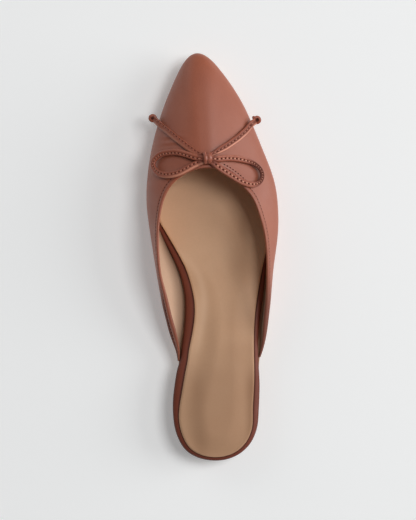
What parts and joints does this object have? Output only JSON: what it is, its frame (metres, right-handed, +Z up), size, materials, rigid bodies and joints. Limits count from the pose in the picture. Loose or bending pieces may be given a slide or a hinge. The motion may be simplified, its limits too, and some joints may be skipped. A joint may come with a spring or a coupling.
{
  "type": "mule shoe",
  "caption": "Flat pointed-toe leather mule with a low open back, a padded leather footbed and a thin piped bow on the vamp, for a right foot.",
  "frame": {"origin": "centre of the shoe's outline, at the level of the ground", "axes": "+X to the lateral side, +Y from heel to toe, +Z up"},
  "size_m": [0.083, 0.258, 0.0429],
  "materials": {
    "outsole": "smooth, waxed edge",
    "heel": "stacked layers, waxed",
    "heel_lift": "matt",
    "upper": "smooth nappa, satin",
    "bow": "smooth nappa, satin, stitched",
    "insock": "smooth, soft, matt"
  },
  "bodies": {
    "root": {"outsole": "outsole", "heel": "heel", "heel_lift": "heel_lift", "footbed": "upper", "insock": "insock", "upper": "upper", "bow_knot": "bow", "bow_loop_medial": "bow", "bow_loop_lateral": "bow", "bow_tail_medial": "bow", "bow_tail_lateral": "bow", "tail_knot_medial": "bow", "tail_knot_lateral": "bow"}
  },
  "joints": []
}
